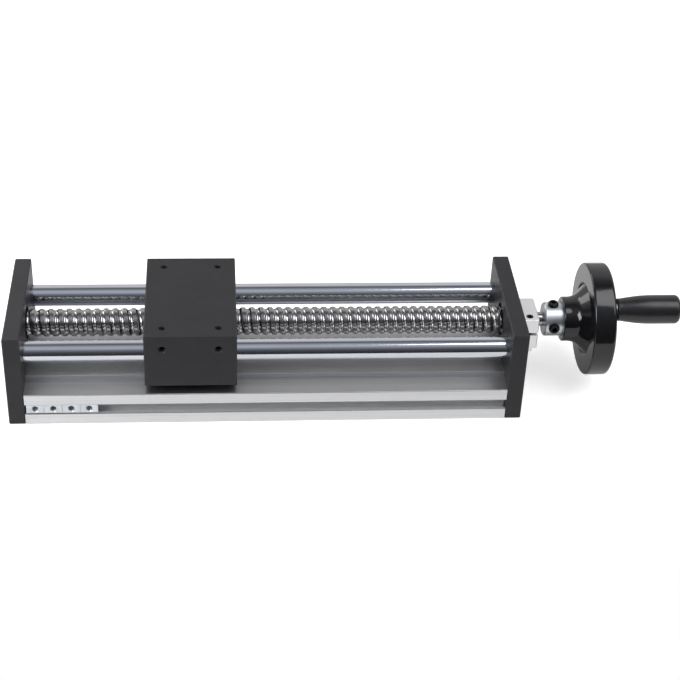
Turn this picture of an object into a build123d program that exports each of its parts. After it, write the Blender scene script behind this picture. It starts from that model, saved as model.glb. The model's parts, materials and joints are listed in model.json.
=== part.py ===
"""Manual single-axis linear stage: a hand wheel turns a ball screw that moves a carriage on two rods.

Millimetres. X runs along the travel, with the hand wheel at +X. Z is up, and the front faces -Y.
The origin is on the underside, midway between the outer faces of the end plates.
"""

import os
from math import ceil, cos, radians, sin, sqrt

from build123d import *

os.makedirs("parts", exist_ok=True)

# Frame
stage_length = 280.0
stage_width = 80.0
plate_thickness = 9.0
plate_above_axis = 16.4
edge_chamfer = 0.5

# Base profile
base_height = 19.5
land_width = 52.0
land_rise = 2.5
profile_wall = 2.4
profile_radius = 0.6
port_diameter = 4.2
port_wall = 1.5
inner_port_spacing = 20.0

# T-slots of the base
slot_mouth = 6.2
slot_lip = 1.8
slot_inner_width = 11.0
slot_depth = 6.1
floor_slot_spacing = 40.0

# Guide rods
axis_above_land = 17.2
rod_diameter = 12.0
rod_seat_depth = 4.0
rod_thread_depth = 14.0
rod_outset = 0.5

# Ball screw
screw_diameter = 15.4
screw_lead = 5.0
ball_groove_diameter = 3.3
ball_circle_diameter = 16.75
neck_diameter = 11.0
bearing_seat_diameter = 10.0
journal_diameter = 8.0
thread_end_gap = 0.5
journal_end_recess = 0.5
journal_chamfer = 0.5

# Bearings of the ball screw
bearing_diameter = 19.0
bearing_width = 5.0
bearing_recess = 1.3
bearing_inner_ring_diameter = 12.6
bearing_outer_ring_bore = 16.4
shield_thickness = 0.4
shield_recess = 0.3
shield_groove_depth = 0.3
journal_hole_diameter = 9.0
ring_relief_diameter = 14.0
ring_relief_depth = 0.5

# Carriage
carriage_length = 49.5
carriage_width = 78.0
carriage_height = 32.0
carriage_below_axis = 15.2
carriage_rest = -41.5
carriage_hole_pitch_x = 30.0
carriage_hole_pitch_y = 60.0
carriage_hole_depth = 6.0
side_hole_below_top = 8.0
side_hole_floor = 0.5
mount_thread_core = 3.3
countersink = 0.5

# Ball nut
nut_diameter = 28.0
nut_length = 42.0
nut_screw_gap = 0.5
wiper_diameter = 22.0
wiper_thickness = 3.0
key_width = 4.0
key_height = 3.0
key_length = 16.0
nut_ring_thickness = 1.2
nut_ring_groove_depth = 0.7
nut_ring_width = 2.1

# Linear ball bearings on the rods
sleeve_diameter = 19.0
sleeve_bore = 16.4
sleeve_length = 28.0
sleeve_groove_inset = 3.5
sleeve_groove_width = 1.3
sleeve_groove_depth = 0.5
seal_thickness = 2.0
rod_ring_thickness = 1.0
rod_ring_groove_depth = 0.5
rod_ring_width = 1.9
ring_opening_angle = 50.0

# Slot nuts
slot_nut_count = 4
slot_nut_length = 9.6
slot_nut_pitch = 9.65
slot_nut_end_gap = 0.7
slot_nut_recess = 0.6
slot_nut_neck_gap = 0.4

# Screws of the frame
frame_screw_diameter = 5.0
frame_screw_core = 4.1
frame_screw_hole = 5.5
frame_screw_head = 8.5
frame_head_hole = 9.4
base_head_height = 5.0
base_screw_grip = 14.0
rod_head_height = 2.8
rod_screw_grip = 9.0
frame_socket = 4.0
head_sink = 0.2
socket_depth_share = 0.55

# Lock on the screw's journal
lock_thickness = 10.0
lock_width = 22.0
lock_height = 19.0
lock_behind_axis = 7.0
lock_slit = 1.8
lock_foot_height = 2.5
lock_foot_thickness = 7.5
lock_chamfer = 0.4
clamp_screw_diameter = 3.9
clamp_screw_inset = 3.6
clamp_screw_length = 18.0
clamp_screw_sink = 0.3
clamp_socket = 2.0
clamp_socket_depth = 2.0
small_screw_diameter = 2.5
small_screw_core = 2.1
small_screw_hole = 2.8
small_screw_head = 4.5
small_screw_head_hole = 4.8
small_screw_head_height = 2.5
small_screw_grip = 2.2
small_screw_socket = 2.0
small_screw_drop = 6.6
small_screw_spacing = 8.8
small_screw_shift = -1.0

# Bush of the hand wheel
bushing_gap = 5.1
bushing_diameter = 19.0
bushing_length = 27.8
bushing_exposed = 10.1
bushing_chamfer = 0.6
set_screw_diameter = 6.0
set_screw_inset = 4.9
set_screw_length = 7.2
set_screw_socket = 3.0
journal_end_in_bushing = 25.0

# Hand wheel
wheel_diameter = 63.0
rim_width = 12.4
rim_inner_diameter = 40.0
rim_setback = 12.7
hub_diameter = 25.0
hub_cylinder_length = 7.0
hub_length = 18.8
hub_chamfer = 0.9
web_crease = 1.0
web_thickness = 5.4
web_flare_radius = 8.0
web_valley_radius = 1.5
rim_left_radius = 1.2
rim_right_radius = 2.0

# Revolving handle
handle_radius = 24.0
handle_angle = 134.0
spindle_thread_diameter = 6.0
spindle_thread_length = 8.0
spindle_flange_diameter = 9.4
spindle_flange_thickness = 0.8
spindle_diameter = 7.0
spindle_length = 22.0
spindle_head_diameter = 9.4
spindle_head_length = 3.0
grip_length = 34.6
grip_base_diameter = 12.4
grip_waist_length = 1.6
grip_swell_length = 17.4
grip_swell_slope = 0.25
grip_diameter = 15.9
grip_end_radius = 2.6

# Clearances: a seat that doesn't move, a running fit, and parts that pass each other
seat_gap = 0.02
running_gap = 0.05
passing_gap = 0.3

base_length = stage_length - 2 * plate_thickness
plate_inner = base_length / 2
plate_outer = stage_length / 2
land_top = base_height + land_rise
axis_height = land_top + axis_above_land
plate_height = axis_height + plate_above_axis
slot_centre = base_height / 2

# Each rod stands between the nut's bore and the carriage's side, a little outside the middle
rod_spacing = (nut_diameter + carriage_width) / 2 + 2 * rod_outset
rod_places = {"front": -rod_spacing / 2, "rear": rod_spacing / 2}
screw_axis = Axis((0, 0, axis_height), (1, 0, 0))


def save(part, label):
    """Names a finished piece and writes it to its own file."""
    part.label = label
    export_step(part, f"parts/{label}.step")


def tube(start, length, outer, bore, y=0.0, chamfered=0.0):
    """A round ring along X at the screw's height, from start towards +X."""
    with BuildPart() as ring:
        with BuildSketch(Plane.YZ.offset(start)):
            with Locations((y, axis_height)):
                Circle(outer / 2)
                if bore:
                    Circle(bore / 2, mode=Mode.SUBTRACT)
        extrude(amount=length)
        if chamfered:
            ends = ring.edges().filter_by(GeomType.CIRCLE).sort_by(SortBy.RADIUS)[-2:]
            chamfer(ends, chamfered)
    return ring.part


def socket_screw(head, head_height, shank, shank_length, core, core_length, socket):
    """A socket screw down -Z with the top of its head at the origin; core is the threaded end."""
    with BuildPart() as screw:
        Cylinder(head / 2, head_height, align=(Align.CENTER, Align.CENTER, Align.MAX))
        with Locations((0, 0, -head_height)):
            Cylinder(shank / 2, shank_length, align=(Align.CENTER, Align.CENTER, Align.MAX))
        with Locations((0, 0, -head_height - shank_length)):
            Cylinder(core / 2, core_length, align=(Align.CENTER, Align.CENTER, Align.MAX))
        with BuildSketch():
            RegularPolygon(socket / 2, 6, major_radius=False)
        extrude(amount=-head_height * socket_depth_share, mode=Mode.SUBTRACT)
    return screw.part


def set_screw(diameter, length, socket, socket_depth):
    """A headless screw down -Z with its socket end at the origin."""
    with BuildPart() as screw:
        Cylinder(diameter / 2, length, align=(Align.CENTER, Align.CENTER, Align.MAX))
        with BuildSketch():
            RegularPolygon(socket / 2, 6, major_radius=False)
        extrude(amount=-socket_depth, mode=Mode.SUBTRACT)
    return screw.part


# Base profile, its T-slots, hollow chambers and screw ports running the whole length
with BuildSketch() as slot_section:
    with Locations((0, slot_lip / 2)):
        Rectangle(slot_mouth, slot_lip)
    with Locations((0, (slot_lip + slot_depth) / 2)):
        Rectangle(slot_inner_width, slot_depth - slot_lip)

outer_port = stage_width / 2 - slot_depth - port_wall - port_diameter / 2
inner_port = inner_port_spacing / 2
port_places = [(y, slot_centre) for y in (-outer_port, -inner_port, inner_port, outer_port)]
chamber_inner = inner_port + port_diameter / 2 + port_wall
chamber_outer = land_width / 2 - profile_wall
chamber_floor = slot_depth + profile_wall
chamber_roof = land_top - profile_wall
middle_half_width = inner_port - port_diameter / 2 - port_wall

with BuildPart() as base_extrusion:
    with BuildSketch(Plane.YZ.offset(-plate_inner)) as profile:
        with Locations((0, base_height / 2)):
            Rectangle(stage_width, base_height)
        with Locations((0, land_top / 2)):
            Rectangle(land_width, land_top)
        upper = profile.vertices().filter_by(lambda v: v.Z > base_height / 2)
        fillet(upper, profile_radius)
        with Locations(
            Location((-stage_width / 2, slot_centre), (0, 0, -90)),
            Location((stage_width / 2, slot_centre), (0, 0, 90)),
            Location((-floor_slot_spacing / 2, 0)),
            Location((floor_slot_spacing / 2, 0)),
        ):
            add(slot_section.sketch, mode=Mode.SUBTRACT)
        with Locations(*port_places):
            Circle(port_diameter / 2, mode=Mode.SUBTRACT)
        for side in (-1, 1):
            with Locations(
                (side * (chamber_inner + chamber_outer) / 2, (chamber_floor + chamber_roof) / 2)
            ):
                Rectangle(
                    chamber_outer - chamber_inner,
                    chamber_roof - chamber_floor,
                    mode=Mode.SUBTRACT,
                )
        with Locations((0, (profile_wall + chamber_roof) / 2)):
            Rectangle(2 * middle_half_width, chamber_roof - profile_wall, mode=Mode.SUBTRACT)
    extrude(amount=base_length)
save(base_extrusion.part, "base_extrusion")


# End plates, alike but for the side their pockets face
def end_plate(side):
    """The plate at the -X end (side -1) or at the hand wheel (side 1)."""
    inner = Plane.YZ.offset(side * plate_inner)
    outer = Plane.YZ.offset(side * plate_outer)
    with BuildPart() as plate:
        with BuildSketch(inner):
            with Locations((0, plate_height / 2)):
                Rectangle(stage_width, plate_height)
        extrude(amount=side * plate_thickness)
        chamfer(plate.edges(), edge_chamfer)
        with BuildSketch(inner):
            with Locations((0, axis_height)):
                Circle(bearing_diameter / 2 + seat_gap)
        extrude(amount=side * (bearing_recess + bearing_width), mode=Mode.SUBTRACT)
        with BuildSketch(inner):
            with Locations((0, axis_height)):
                Circle(ring_relief_diameter / 2)
        relief_end = bearing_recess + bearing_width + ring_relief_depth
        extrude(amount=side * relief_end, mode=Mode.SUBTRACT)
        with BuildSketch(inner):
            with Locations((0, axis_height)):
                Circle(journal_hole_diameter / 2)
        extrude(amount=side * plate_thickness, mode=Mode.SUBTRACT)
        with BuildSketch(inner):
            with Locations(*[(y, axis_height) for y in rod_places.values()]):
                Circle(rod_diameter / 2 + seat_gap)
        extrude(amount=side * rod_seat_depth, mode=Mode.SUBTRACT)
        with BuildSketch(outer):
            with Locations(*[(y, axis_height) for y in rod_places.values()], *port_places):
                Circle(frame_screw_hole / 2)
        extrude(amount=-side * plate_thickness, mode=Mode.SUBTRACT)
        with BuildSketch(outer):
            with Locations(*[(y, axis_height) for y in rod_places.values()]):
                Circle(frame_head_hole / 2)
        extrude(amount=-side * (rod_head_height + head_sink), mode=Mode.SUBTRACT)
        with BuildSketch(outer):
            with Locations(*port_places):
                Circle(frame_head_hole / 2)
        extrude(amount=-side * (base_head_height + head_sink), mode=Mode.SUBTRACT)
    return plate.part


with BuildPart() as left_end_plate:
    add(end_plate(-1))
save(left_end_plate.part, "left_end_plate")

small_screw_places = [
    (small_screw_shift + side * small_screw_spacing / 2, axis_height - small_screw_drop)
    for side in (-1, 1)
]
with BuildPart() as right_end_plate:
    add(end_plate(1))
    with BuildSketch(Plane.YZ.offset(plate_outer)):
        with Locations(*small_screw_places):
            Circle(small_screw_core / 2 + seat_gap)
    extrude(amount=-small_screw_grip - seat_gap, mode=Mode.SUBTRACT)
save(right_end_plate.part, "right_end_plate")

# Guide rods, threaded in both ends for the screws through the plates
for name, y in rod_places.items():
    with BuildPart() as guide_rod:
        add(
            tube(
                -plate_inner - rod_seat_depth + seat_gap,
                base_length + 2 * (rod_seat_depth - seat_gap),
                rod_diameter,
                0,
                y,
                edge_chamfer,
            )
        )
        for side in (-1, 1):
            with BuildSketch(Plane.YZ.offset(side * (plate_inner + rod_seat_depth))):
                with Locations((y, axis_height)):
                    Circle(frame_screw_core / 2 + seat_gap)
            extrude(amount=-side * rod_thread_depth, mode=Mode.SUBTRACT)
    save(guide_rod.part, f"{name}_guide_rod")

# Screws through the end plates, into the rods and into the base profile
rod_screw = socket_screw(
    frame_screw_head,
    rod_head_height,
    frame_screw_diameter,
    plate_thickness - rod_head_height - head_sink - rod_seat_depth,
    frame_screw_core,
    rod_screw_grip,
    frame_socket,
)
base_screw = socket_screw(
    frame_screw_head,
    base_head_height,
    frame_screw_diameter,
    plate_thickness - base_head_height - head_sink,
    frame_screw_core,
    base_screw_grip,
    frame_socket,
)


def end_planes(places):
    """Planes at the outer faces of both end plates, just below the surface, facing outwards."""
    planes = []
    for side in (-1, 1):
        x = side * (plate_outer - head_sink)
        planes += [Plane(origin=(x, y, z), z_dir=(side, 0, 0)) for y, z in places]
    return planes


with BuildPart() as rod_end_screws:
    with Locations(*end_planes([(y, axis_height) for y in rod_places.values()])):
        add(rod_screw)
save(rod_end_screws.part, "rod_end_screws")

with BuildPart() as plate_base_screws:
    with Locations(*end_planes(port_places)):
        add(base_screw)
save(plate_base_screws.part, "plate_base_screws")

# Ball bearings of the screw, one in each end plate, with their shields set in the outer rings
bearing_start = {
    "left": -plate_inner - bearing_recess - bearing_width,
    "right": plate_inner + bearing_recess,
}
shield_diameter = bearing_outer_ring_bore + 2 * shield_groove_depth


def shield_starts(start):
    """Where the two shields of a bearing begin along X."""
    return (start + shield_recess, start + bearing_width - shield_recess - shield_thickness)


for name, start in bearing_start.items():
    with BuildPart() as outer_ring:
        add(tube(start, bearing_width, bearing_diameter, bearing_outer_ring_bore))
        for x in shield_starts(start):
            add(tube(x, shield_thickness, shield_diameter, 0), mode=Mode.SUBTRACT)
    save(outer_ring.part, f"{name}_bearing_outer_ring")
    with BuildPart() as inner_ring:
        add(
            tube(
                start,
                bearing_width,
                bearing_inner_ring_diameter,
                bearing_seat_diameter + 2 * seat_gap,
            )
        )
    save(inner_ring.part, f"{name}_bearing_inner_ring")

with BuildPart() as screw_bearing_shields:
    for start in bearing_start.values():
        for x in shield_starts(start):
            add(
                tube(
                    x,
                    shield_thickness,
                    shield_diameter - 2 * seat_gap,
                    bearing_inner_ring_diameter + 2 * passing_gap,
                )
            )
save(screw_bearing_shields.part, "screw_bearing_shields")

# One turn of the right-hand ball groove along +Z, to be laid end to end along the screw
with BuildPart() as groove_turn:
    with BuildLine() as turn:
        Helix(screw_lead, screw_lead, ball_circle_diameter / 2)
    with BuildSketch(Plane(origin=turn.line @ 0, z_dir=turn.line % 0)):
        Circle(ball_groove_diameter / 2)
    sweep(is_frenet=True)

# Ball screw: grooved stretch, necks against the inner rings, and journals
thread_end = plate_inner - thread_end_gap
groove_reach = ceil(thread_end / screw_lead) + 1
groove_planes = [
    Plane(origin=(turn_number * screw_lead, 0, axis_height), x_dir=(0, 0, 1), z_dir=(1, 0, 0))
    for turn_number in range(-groove_reach, groove_reach)
]
neck_end = plate_inner + bearing_recess
seat_end = neck_end + bearing_width
bushing_start = plate_outer + lock_thickness + bushing_gap
with BuildPart() as ball_screw:
    with BuildSketch(Plane.XZ):
        with BuildLine():
            Polyline(
                (-plate_outer + journal_end_recess, axis_height),
                (-plate_outer + journal_end_recess, axis_height + journal_diameter / 2),
                (-seat_end, axis_height + journal_diameter / 2),
                (-seat_end, axis_height + bearing_seat_diameter / 2),
                (-neck_end, axis_height + bearing_seat_diameter / 2),
                (-neck_end, axis_height + neck_diameter / 2),
                (-thread_end, axis_height + neck_diameter / 2),
                (-thread_end, axis_height + screw_diameter / 2),
                (thread_end, axis_height + screw_diameter / 2),
                (thread_end, axis_height + neck_diameter / 2),
                (neck_end, axis_height + neck_diameter / 2),
                (neck_end, axis_height + bearing_seat_diameter / 2),
                (seat_end, axis_height + bearing_seat_diameter / 2),
                (seat_end, axis_height + journal_diameter / 2),
                (bushing_start + journal_end_in_bushing, axis_height + journal_diameter / 2),
                (bushing_start + journal_end_in_bushing, axis_height),
                close=True,
            )
        make_face()
    revolve(axis=screw_axis)
    chamfer(ball_screw.edges().filter_by(GeomType.CIRCLE).group_by(Axis.X)[0], journal_chamfer)
    chamfer(ball_screw.edges().filter_by(GeomType.CIRCLE).group_by(Axis.X)[-1], journal_chamfer)
    with Locations(*groove_planes):
        add(groove_turn.part, mode=Mode.SUBTRACT)
save(ball_screw.part, "ball_screw")

# Split lock block on the outside of the right plate, with a foot set back from its outer face
lock_front = lock_behind_axis - lock_width
lock_middle = plate_outer + lock_thickness / 2
clamp_screw_y = lock_front + clamp_screw_inset
lock_top = axis_height + lock_height / 2
lock_bottom = axis_height - lock_height / 2
lock_outer = plate_outer + lock_thickness
lock_foot_outer = plate_outer + lock_foot_thickness
with BuildPart() as lock_block:
    with BuildSketch(Plane.XZ.offset(-lock_behind_axis)):
        with BuildLine():
            Polyline(
                (plate_outer, lock_top),
                (lock_outer, lock_top),
                (lock_outer, lock_bottom),
                (lock_foot_outer, lock_bottom),
                (lock_foot_outer, lock_bottom - lock_foot_height),
                (plate_outer, lock_bottom - lock_foot_height),
                close=True,
            )
        make_face()
    extrude(amount=lock_width)
    chamfer(lock_block.edges(), lock_chamfer)
    with BuildSketch(Plane.YZ.offset(plate_outer)):
        with Locations((0, axis_height)):
            Circle(journal_diameter / 2 + running_gap)
        with Locations((lock_front / 2, axis_height)):
            Rectangle(-lock_front, lock_slit)
        with Locations(*small_screw_places):
            Circle(small_screw_hole / 2)
    extrude(amount=lock_thickness, mode=Mode.SUBTRACT)
    with BuildSketch(Plane.YZ.offset(plate_outer + lock_thickness)):
        with Locations(*small_screw_places):
            Circle(small_screw_head_hole / 2)
    extrude(amount=-small_screw_head_height - head_sink, mode=Mode.SUBTRACT)
    with BuildSketch(Plane.XY.offset(lock_top)):
        with Locations((lock_middle, clamp_screw_y)):
            Circle(clamp_screw_diameter / 2 + running_gap)
    extrude(amount=-lock_height, mode=Mode.SUBTRACT)
save(lock_block.part, "lock_block")

with BuildPart() as lock_block_screws:
    with Locations(
        *[
            Plane(origin=(plate_outer + lock_thickness - head_sink, y, z), z_dir=(1, 0, 0))
            for y, z in small_screw_places
        ]
    ):
        add(
            socket_screw(
                small_screw_head,
                small_screw_head_height,
                small_screw_diameter,
                lock_thickness - small_screw_head_height - head_sink,
                small_screw_core,
                small_screw_grip,
                small_screw_socket,
            )
        )
save(lock_block_screws.part, "lock_block_screws")

with BuildPart() as lock_clamp_screw:
    with Locations((lock_middle, clamp_screw_y, lock_top - clamp_screw_sink)):
        add(
            set_screw(
                clamp_screw_diameter, clamp_screw_length, clamp_socket, clamp_socket_depth
            )
        )
save(lock_clamp_screw.part, "lock_clamp_screw")

# Steel bush of the hand wheel, held on the journal by two set screws
set_screw_x = bushing_start + set_screw_inset
bush_radius = bushing_diameter / 2
with BuildPart() as wheel_bushing:
    add(
        tube(
            bushing_start,
            bushing_length,
            bushing_diameter,
            journal_diameter + 2 * seat_gap,
            chamfered=bushing_chamfer,
        )
    )
    with Locations(
        Plane(origin=(set_screw_x, 0, axis_height), z_dir=(0, 0, 1)),
        Plane(origin=(set_screw_x, 0, axis_height), z_dir=(0, -1, 0)),
    ):
        Cylinder(
            set_screw_diameter / 2,
            bushing_diameter,
            align=(Align.CENTER, Align.CENTER, Align.MIN),
            mode=Mode.SUBTRACT,
        )
save(wheel_bushing.part, "wheel_bushing")

set_screw_top = journal_diameter / 2 + seat_gap + set_screw_length
with BuildPart() as bushing_set_screws:
    with Locations(
        Plane(origin=(set_screw_x, 0, axis_height + set_screw_top), z_dir=(0, 0, 1)),
        Plane(origin=(set_screw_x, -set_screw_top, axis_height), z_dir=(0, -1, 0)),
    ):
        add(
            set_screw(
                set_screw_diameter - 2 * seat_gap,
                set_screw_length,
                set_screw_socket,
                set_screw_socket,
            )
        )
save(bushing_set_screws.part, "bushing_set_screws")

# Dished hand wheel: hub, conical web and heavy rim in one moulding
hub_left = bushing_start + bushing_exposed
rim_left = hub_left + rim_setback
rim_right = rim_left + rim_width
hub_radius = hub_diameter / 2
web_left = hub_left + hub_cylinder_length
rim_inner = rim_inner_diameter / 2
handle_y = handle_radius * cos(radians(handle_angle))
handle_z = axis_height + handle_radius * sin(radians(handle_angle))
with BuildPart() as handwheel:
    with BuildSketch(Plane.XZ.shift_origin((0, 0, axis_height))) as wheel_section:
        with BuildLine():
            Polyline(
                (hub_left, bush_radius + seat_gap),
                (hub_left, hub_radius),
                (web_left, hub_radius),
                (rim_left + web_crease, rim_inner),
                (rim_left, rim_inner),
                (rim_left, wheel_diameter / 2),
                (rim_right, wheel_diameter / 2),
                (rim_right, rim_inner),
                (rim_left + web_crease + web_thickness, rim_inner),
                (web_left + web_thickness, hub_radius),
                (hub_left + hub_length, hub_radius),
                (hub_left + hub_length, bush_radius + seat_gap),
                close=True,
            )
        make_face()
        outer_corners = wheel_section.vertices().group_by(Axis.Y)[-1].sort_by(Axis.X)
        fillet(outer_corners[0], rim_left_radius)
        fillet(wheel_section.vertices().group_by(Axis.X)[-1], rim_right_radius)
        hub_corners = wheel_section.vertices().group_by(Axis.X)[0].sort_by(Axis.Y)
        chamfer(hub_corners[-1], hub_chamfer)
        for web_root, root_radius in (
            (web_left, web_flare_radius),
            (web_left + web_thickness, web_valley_radius),
        ):
            root_corner = wheel_section.vertices().sort_by_distance((web_root, hub_radius))[0]
            fillet(root_corner, root_radius)
    revolve(axis=screw_axis)
    with BuildSketch(Plane.YZ.offset(rim_right)):
        with Locations((handle_y, handle_z)):
            Circle(spindle_thread_diameter / 2 + seat_gap)
    extrude(amount=-spindle_thread_length - seat_gap, mode=Mode.SUBTRACT)
save(handwheel.part, "handwheel")

# Spindle screwed into the rim, with a flange at the rim and a head that keeps the grip on
handle_axis = Axis((0, handle_y, handle_z), (1, 0, 0))
handle_plane = Plane(origin=(rim_right, handle_y, handle_z), x_dir=(1, 0, 0), z_dir=(0, -1, 0))
spindle_end = spindle_flange_thickness + spindle_length
with BuildPart() as handle_spindle:
    with BuildSketch(handle_plane):
        with BuildLine():
            Polyline(
                (-spindle_thread_length, 0),
                (-spindle_thread_length, spindle_thread_diameter / 2),
                (0, spindle_thread_diameter / 2),
                (0, spindle_flange_diameter / 2),
                (spindle_flange_thickness, spindle_flange_diameter / 2),
                (spindle_flange_thickness, spindle_diameter / 2),
                (spindle_end, spindle_diameter / 2),
                (spindle_end, spindle_head_diameter / 2),
                (spindle_end + spindle_head_length, spindle_head_diameter / 2),
                (spindle_end + spindle_head_length, 0),
                close=True,
            )
        make_face()
    revolve(axis=handle_axis)
save(handle_spindle.part, "handle_spindle")

# Grip turning on the spindle, waisted at the rim and swelling to a rounded end
grip_start = spindle_flange_thickness + passing_gap
grip_end = grip_start + grip_length
swell_end = grip_start + grip_waist_length + grip_swell_length
bore_radius = spindle_diameter / 2 + running_gap
chamber_radius = spindle_head_diameter / 2 + passing_gap
chamber_start = spindle_end - passing_gap
chamber_end = spindle_end + spindle_head_length + passing_gap
with BuildPart() as handle_grip:
    with BuildSketch(handle_plane) as grip_section:
        with BuildLine():
            Polyline(
                (grip_end, grip_diameter / 2),
                (grip_end, 0),
                (chamber_end, 0),
                (chamber_end, chamber_radius),
                (chamber_start, chamber_radius),
                (chamber_start, bore_radius),
                (grip_start, bore_radius),
                (grip_start, grip_base_diameter / 2),
                (grip_start + grip_waist_length, grip_base_diameter / 2),
            )
            Spline(
                (grip_start + grip_waist_length, grip_base_diameter / 2),
                (swell_end, grip_diameter / 2),
                tangents=[(1.0, grip_swell_slope), (1.0, 0.0)],
            )
            Line((swell_end, grip_diameter / 2), (grip_end, grip_diameter / 2))
        make_face()
        end_corner = grip_section.vertices().group_by(Axis.X)[-1].sort_by(Axis.Y)[-1]
        fillet(end_corner, grip_end_radius)
    revolve(axis=handle_axis)
save(handle_grip.part, "handle_grip")

# Carriage block, bored for the ball nut and the two linear bearings
carriage_left = carriage_rest - carriage_length / 2
carriage_bottom = axis_height - carriage_below_axis
carriage_top = carriage_bottom + carriage_height
side_hole_z = carriage_top - side_hole_below_top
key_top = nut_diameter / 2 + key_height / 2
nut_left = carriage_rest - nut_length / 2
nut_ring_places = (nut_left - nut_ring_thickness, nut_left + nut_length)
sleeve_left = carriage_rest - sleeve_length / 2
rod_ring_places = (sleeve_left - rod_ring_thickness, sleeve_left + sleeve_length)

# The side holes end just short of the ring grooves of the linear bearings below them
groove_radius = sleeve_diameter / 2 + rod_ring_groove_depth
groove_rise = side_hole_z - mount_thread_core / 2 - axis_height
groove_side = rod_spacing / 2 + sqrt(max(groove_radius**2 - groove_rise**2, 0))
side_hole_depth = carriage_width / 2 - groove_side - side_hole_floor
with BuildPart() as carriage_block:
    with BuildSketch(Plane.XY.offset(carriage_bottom)):
        with Locations((carriage_rest, 0)):
            Rectangle(carriage_length, carriage_width)
    extrude(amount=carriage_height)
    chamfer(carriage_block.edges(), edge_chamfer)
    with BuildSketch(Plane.YZ.offset(carriage_left)):
        with Locations((0, axis_height)):
            Circle(nut_diameter / 2 + seat_gap)
        with Locations(*[(y, axis_height) for y in rod_places.values()]):
            Circle(sleeve_diameter / 2 + seat_gap)
    extrude(amount=carriage_length, mode=Mode.SUBTRACT)
    with BuildSketch(Plane.YZ.offset(carriage_rest - key_length / 2 - seat_gap)):
        with Locations((0, axis_height)):
            Rectangle(
                key_width + 2 * seat_gap,
                key_top + seat_gap,
                align=(Align.CENTER, Align.MIN),
            )
    extrude(amount=carriage_length, mode=Mode.SUBTRACT)
    for x in nut_ring_places:
        add(
            tube(
                x - seat_gap,
                nut_ring_thickness + 2 * seat_gap,
                nut_diameter + 2 * nut_ring_groove_depth,
                0,
            ),
            mode=Mode.SUBTRACT,
        )
    for y in rod_places.values():
        for x in rod_ring_places:
            add(
                tube(
                    x - seat_gap,
                    rod_ring_thickness + 2 * seat_gap,
                    sleeve_diameter + 2 * rod_ring_groove_depth,
                    0,
                    y,
                ),
                mode=Mode.SUBTRACT,
            )
    with Locations(Plane.XY.offset(carriage_top)):
        with Locations((carriage_rest, 0)):
            with GridLocations(carriage_hole_pitch_x, carriage_hole_pitch_y, 2, 2):
                CounterSinkHole(
                    mount_thread_core / 2, mount_thread_core / 2 + countersink, carriage_hole_depth
                )
    for side in (-1, 1):
        side_face = Plane(
            origin=(carriage_rest, side * carriage_width / 2, side_hole_z),
            x_dir=(1, 0, 0),
            z_dir=(0, side, 0),
        )
        with Locations(side_face):
            with GridLocations(carriage_hole_pitch_x, 0, 2, 1):
                CounterSinkHole(
                    mount_thread_core / 2, mount_thread_core / 2 + countersink, side_hole_depth
                )
save(carriage_block.part, "carriage_block")

# Ball nut with a wiper at each end, a key against turning and two rings against sliding
nut_bore = screw_diameter + 2 * nut_screw_gap
with BuildPart() as ball_nut:
    add(tube(nut_left, nut_length, nut_diameter, nut_bore, chamfered=edge_chamfer))
    for x in (nut_left, nut_left + nut_length - wiper_thickness):
        add(tube(x, wiper_thickness, wiper_diameter + 2 * seat_gap, 0), mode=Mode.SUBTRACT)
    with BuildSketch(Plane.YZ.offset(carriage_rest - key_length / 2 - seat_gap)):
        with Locations((0, axis_height + key_top - key_height - seat_gap)):
            Rectangle(
                key_width + 2 * seat_gap,
                key_height,
                align=(Align.CENTER, Align.MIN),
            )
    extrude(amount=key_length + 2 * seat_gap, mode=Mode.SUBTRACT)
save(ball_nut.part, "ball_nut")

with BuildPart() as nut_wipers:
    for x in (nut_left, nut_left + nut_length - wiper_thickness + seat_gap):
        add(
            tube(
                x,
                wiper_thickness - seat_gap,
                wiper_diameter,
                screw_diameter + 2 * passing_gap,
            )
        )
save(nut_wipers.part, "nut_wipers")

with BuildPart() as nut_key:
    with Locations((carriage_rest, 0, axis_height + key_top)):
        Box(key_length, key_width, key_height, align=(Align.CENTER, Align.CENTER, Align.MAX))
save(nut_key.part, "nut_key")


def retaining_ring(start, thickness, bore, groove_depth, width, y=0.0):
    """An inner snap ring: open downwards, seated in a groove of the carriage's bore."""
    outer = bore + 2 * groove_depth
    with BuildPart() as ring:
        add(tube(start, thickness, outer - 2 * seat_gap, outer - 2 * width, y))
        with BuildSketch(Plane.YZ.offset(start)):
            with Locations((y, axis_height)):
                with BuildLine():
                    half = radians(ring_opening_angle / 2)
                    Polyline(
                        (0, 0),
                        (outer * sin(half), -outer * cos(half)),
                        (-outer * sin(half), -outer * cos(half)),
                        close=True,
                    )
                make_face()
        extrude(amount=thickness, mode=Mode.SUBTRACT)
    return ring.part


with BuildPart() as nut_retaining_rings:
    for x in nut_ring_places:
        add(
            retaining_ring(
                x, nut_ring_thickness, nut_diameter, nut_ring_groove_depth, nut_ring_width
            )
        )
save(nut_retaining_rings.part, "nut_retaining_rings")

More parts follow.
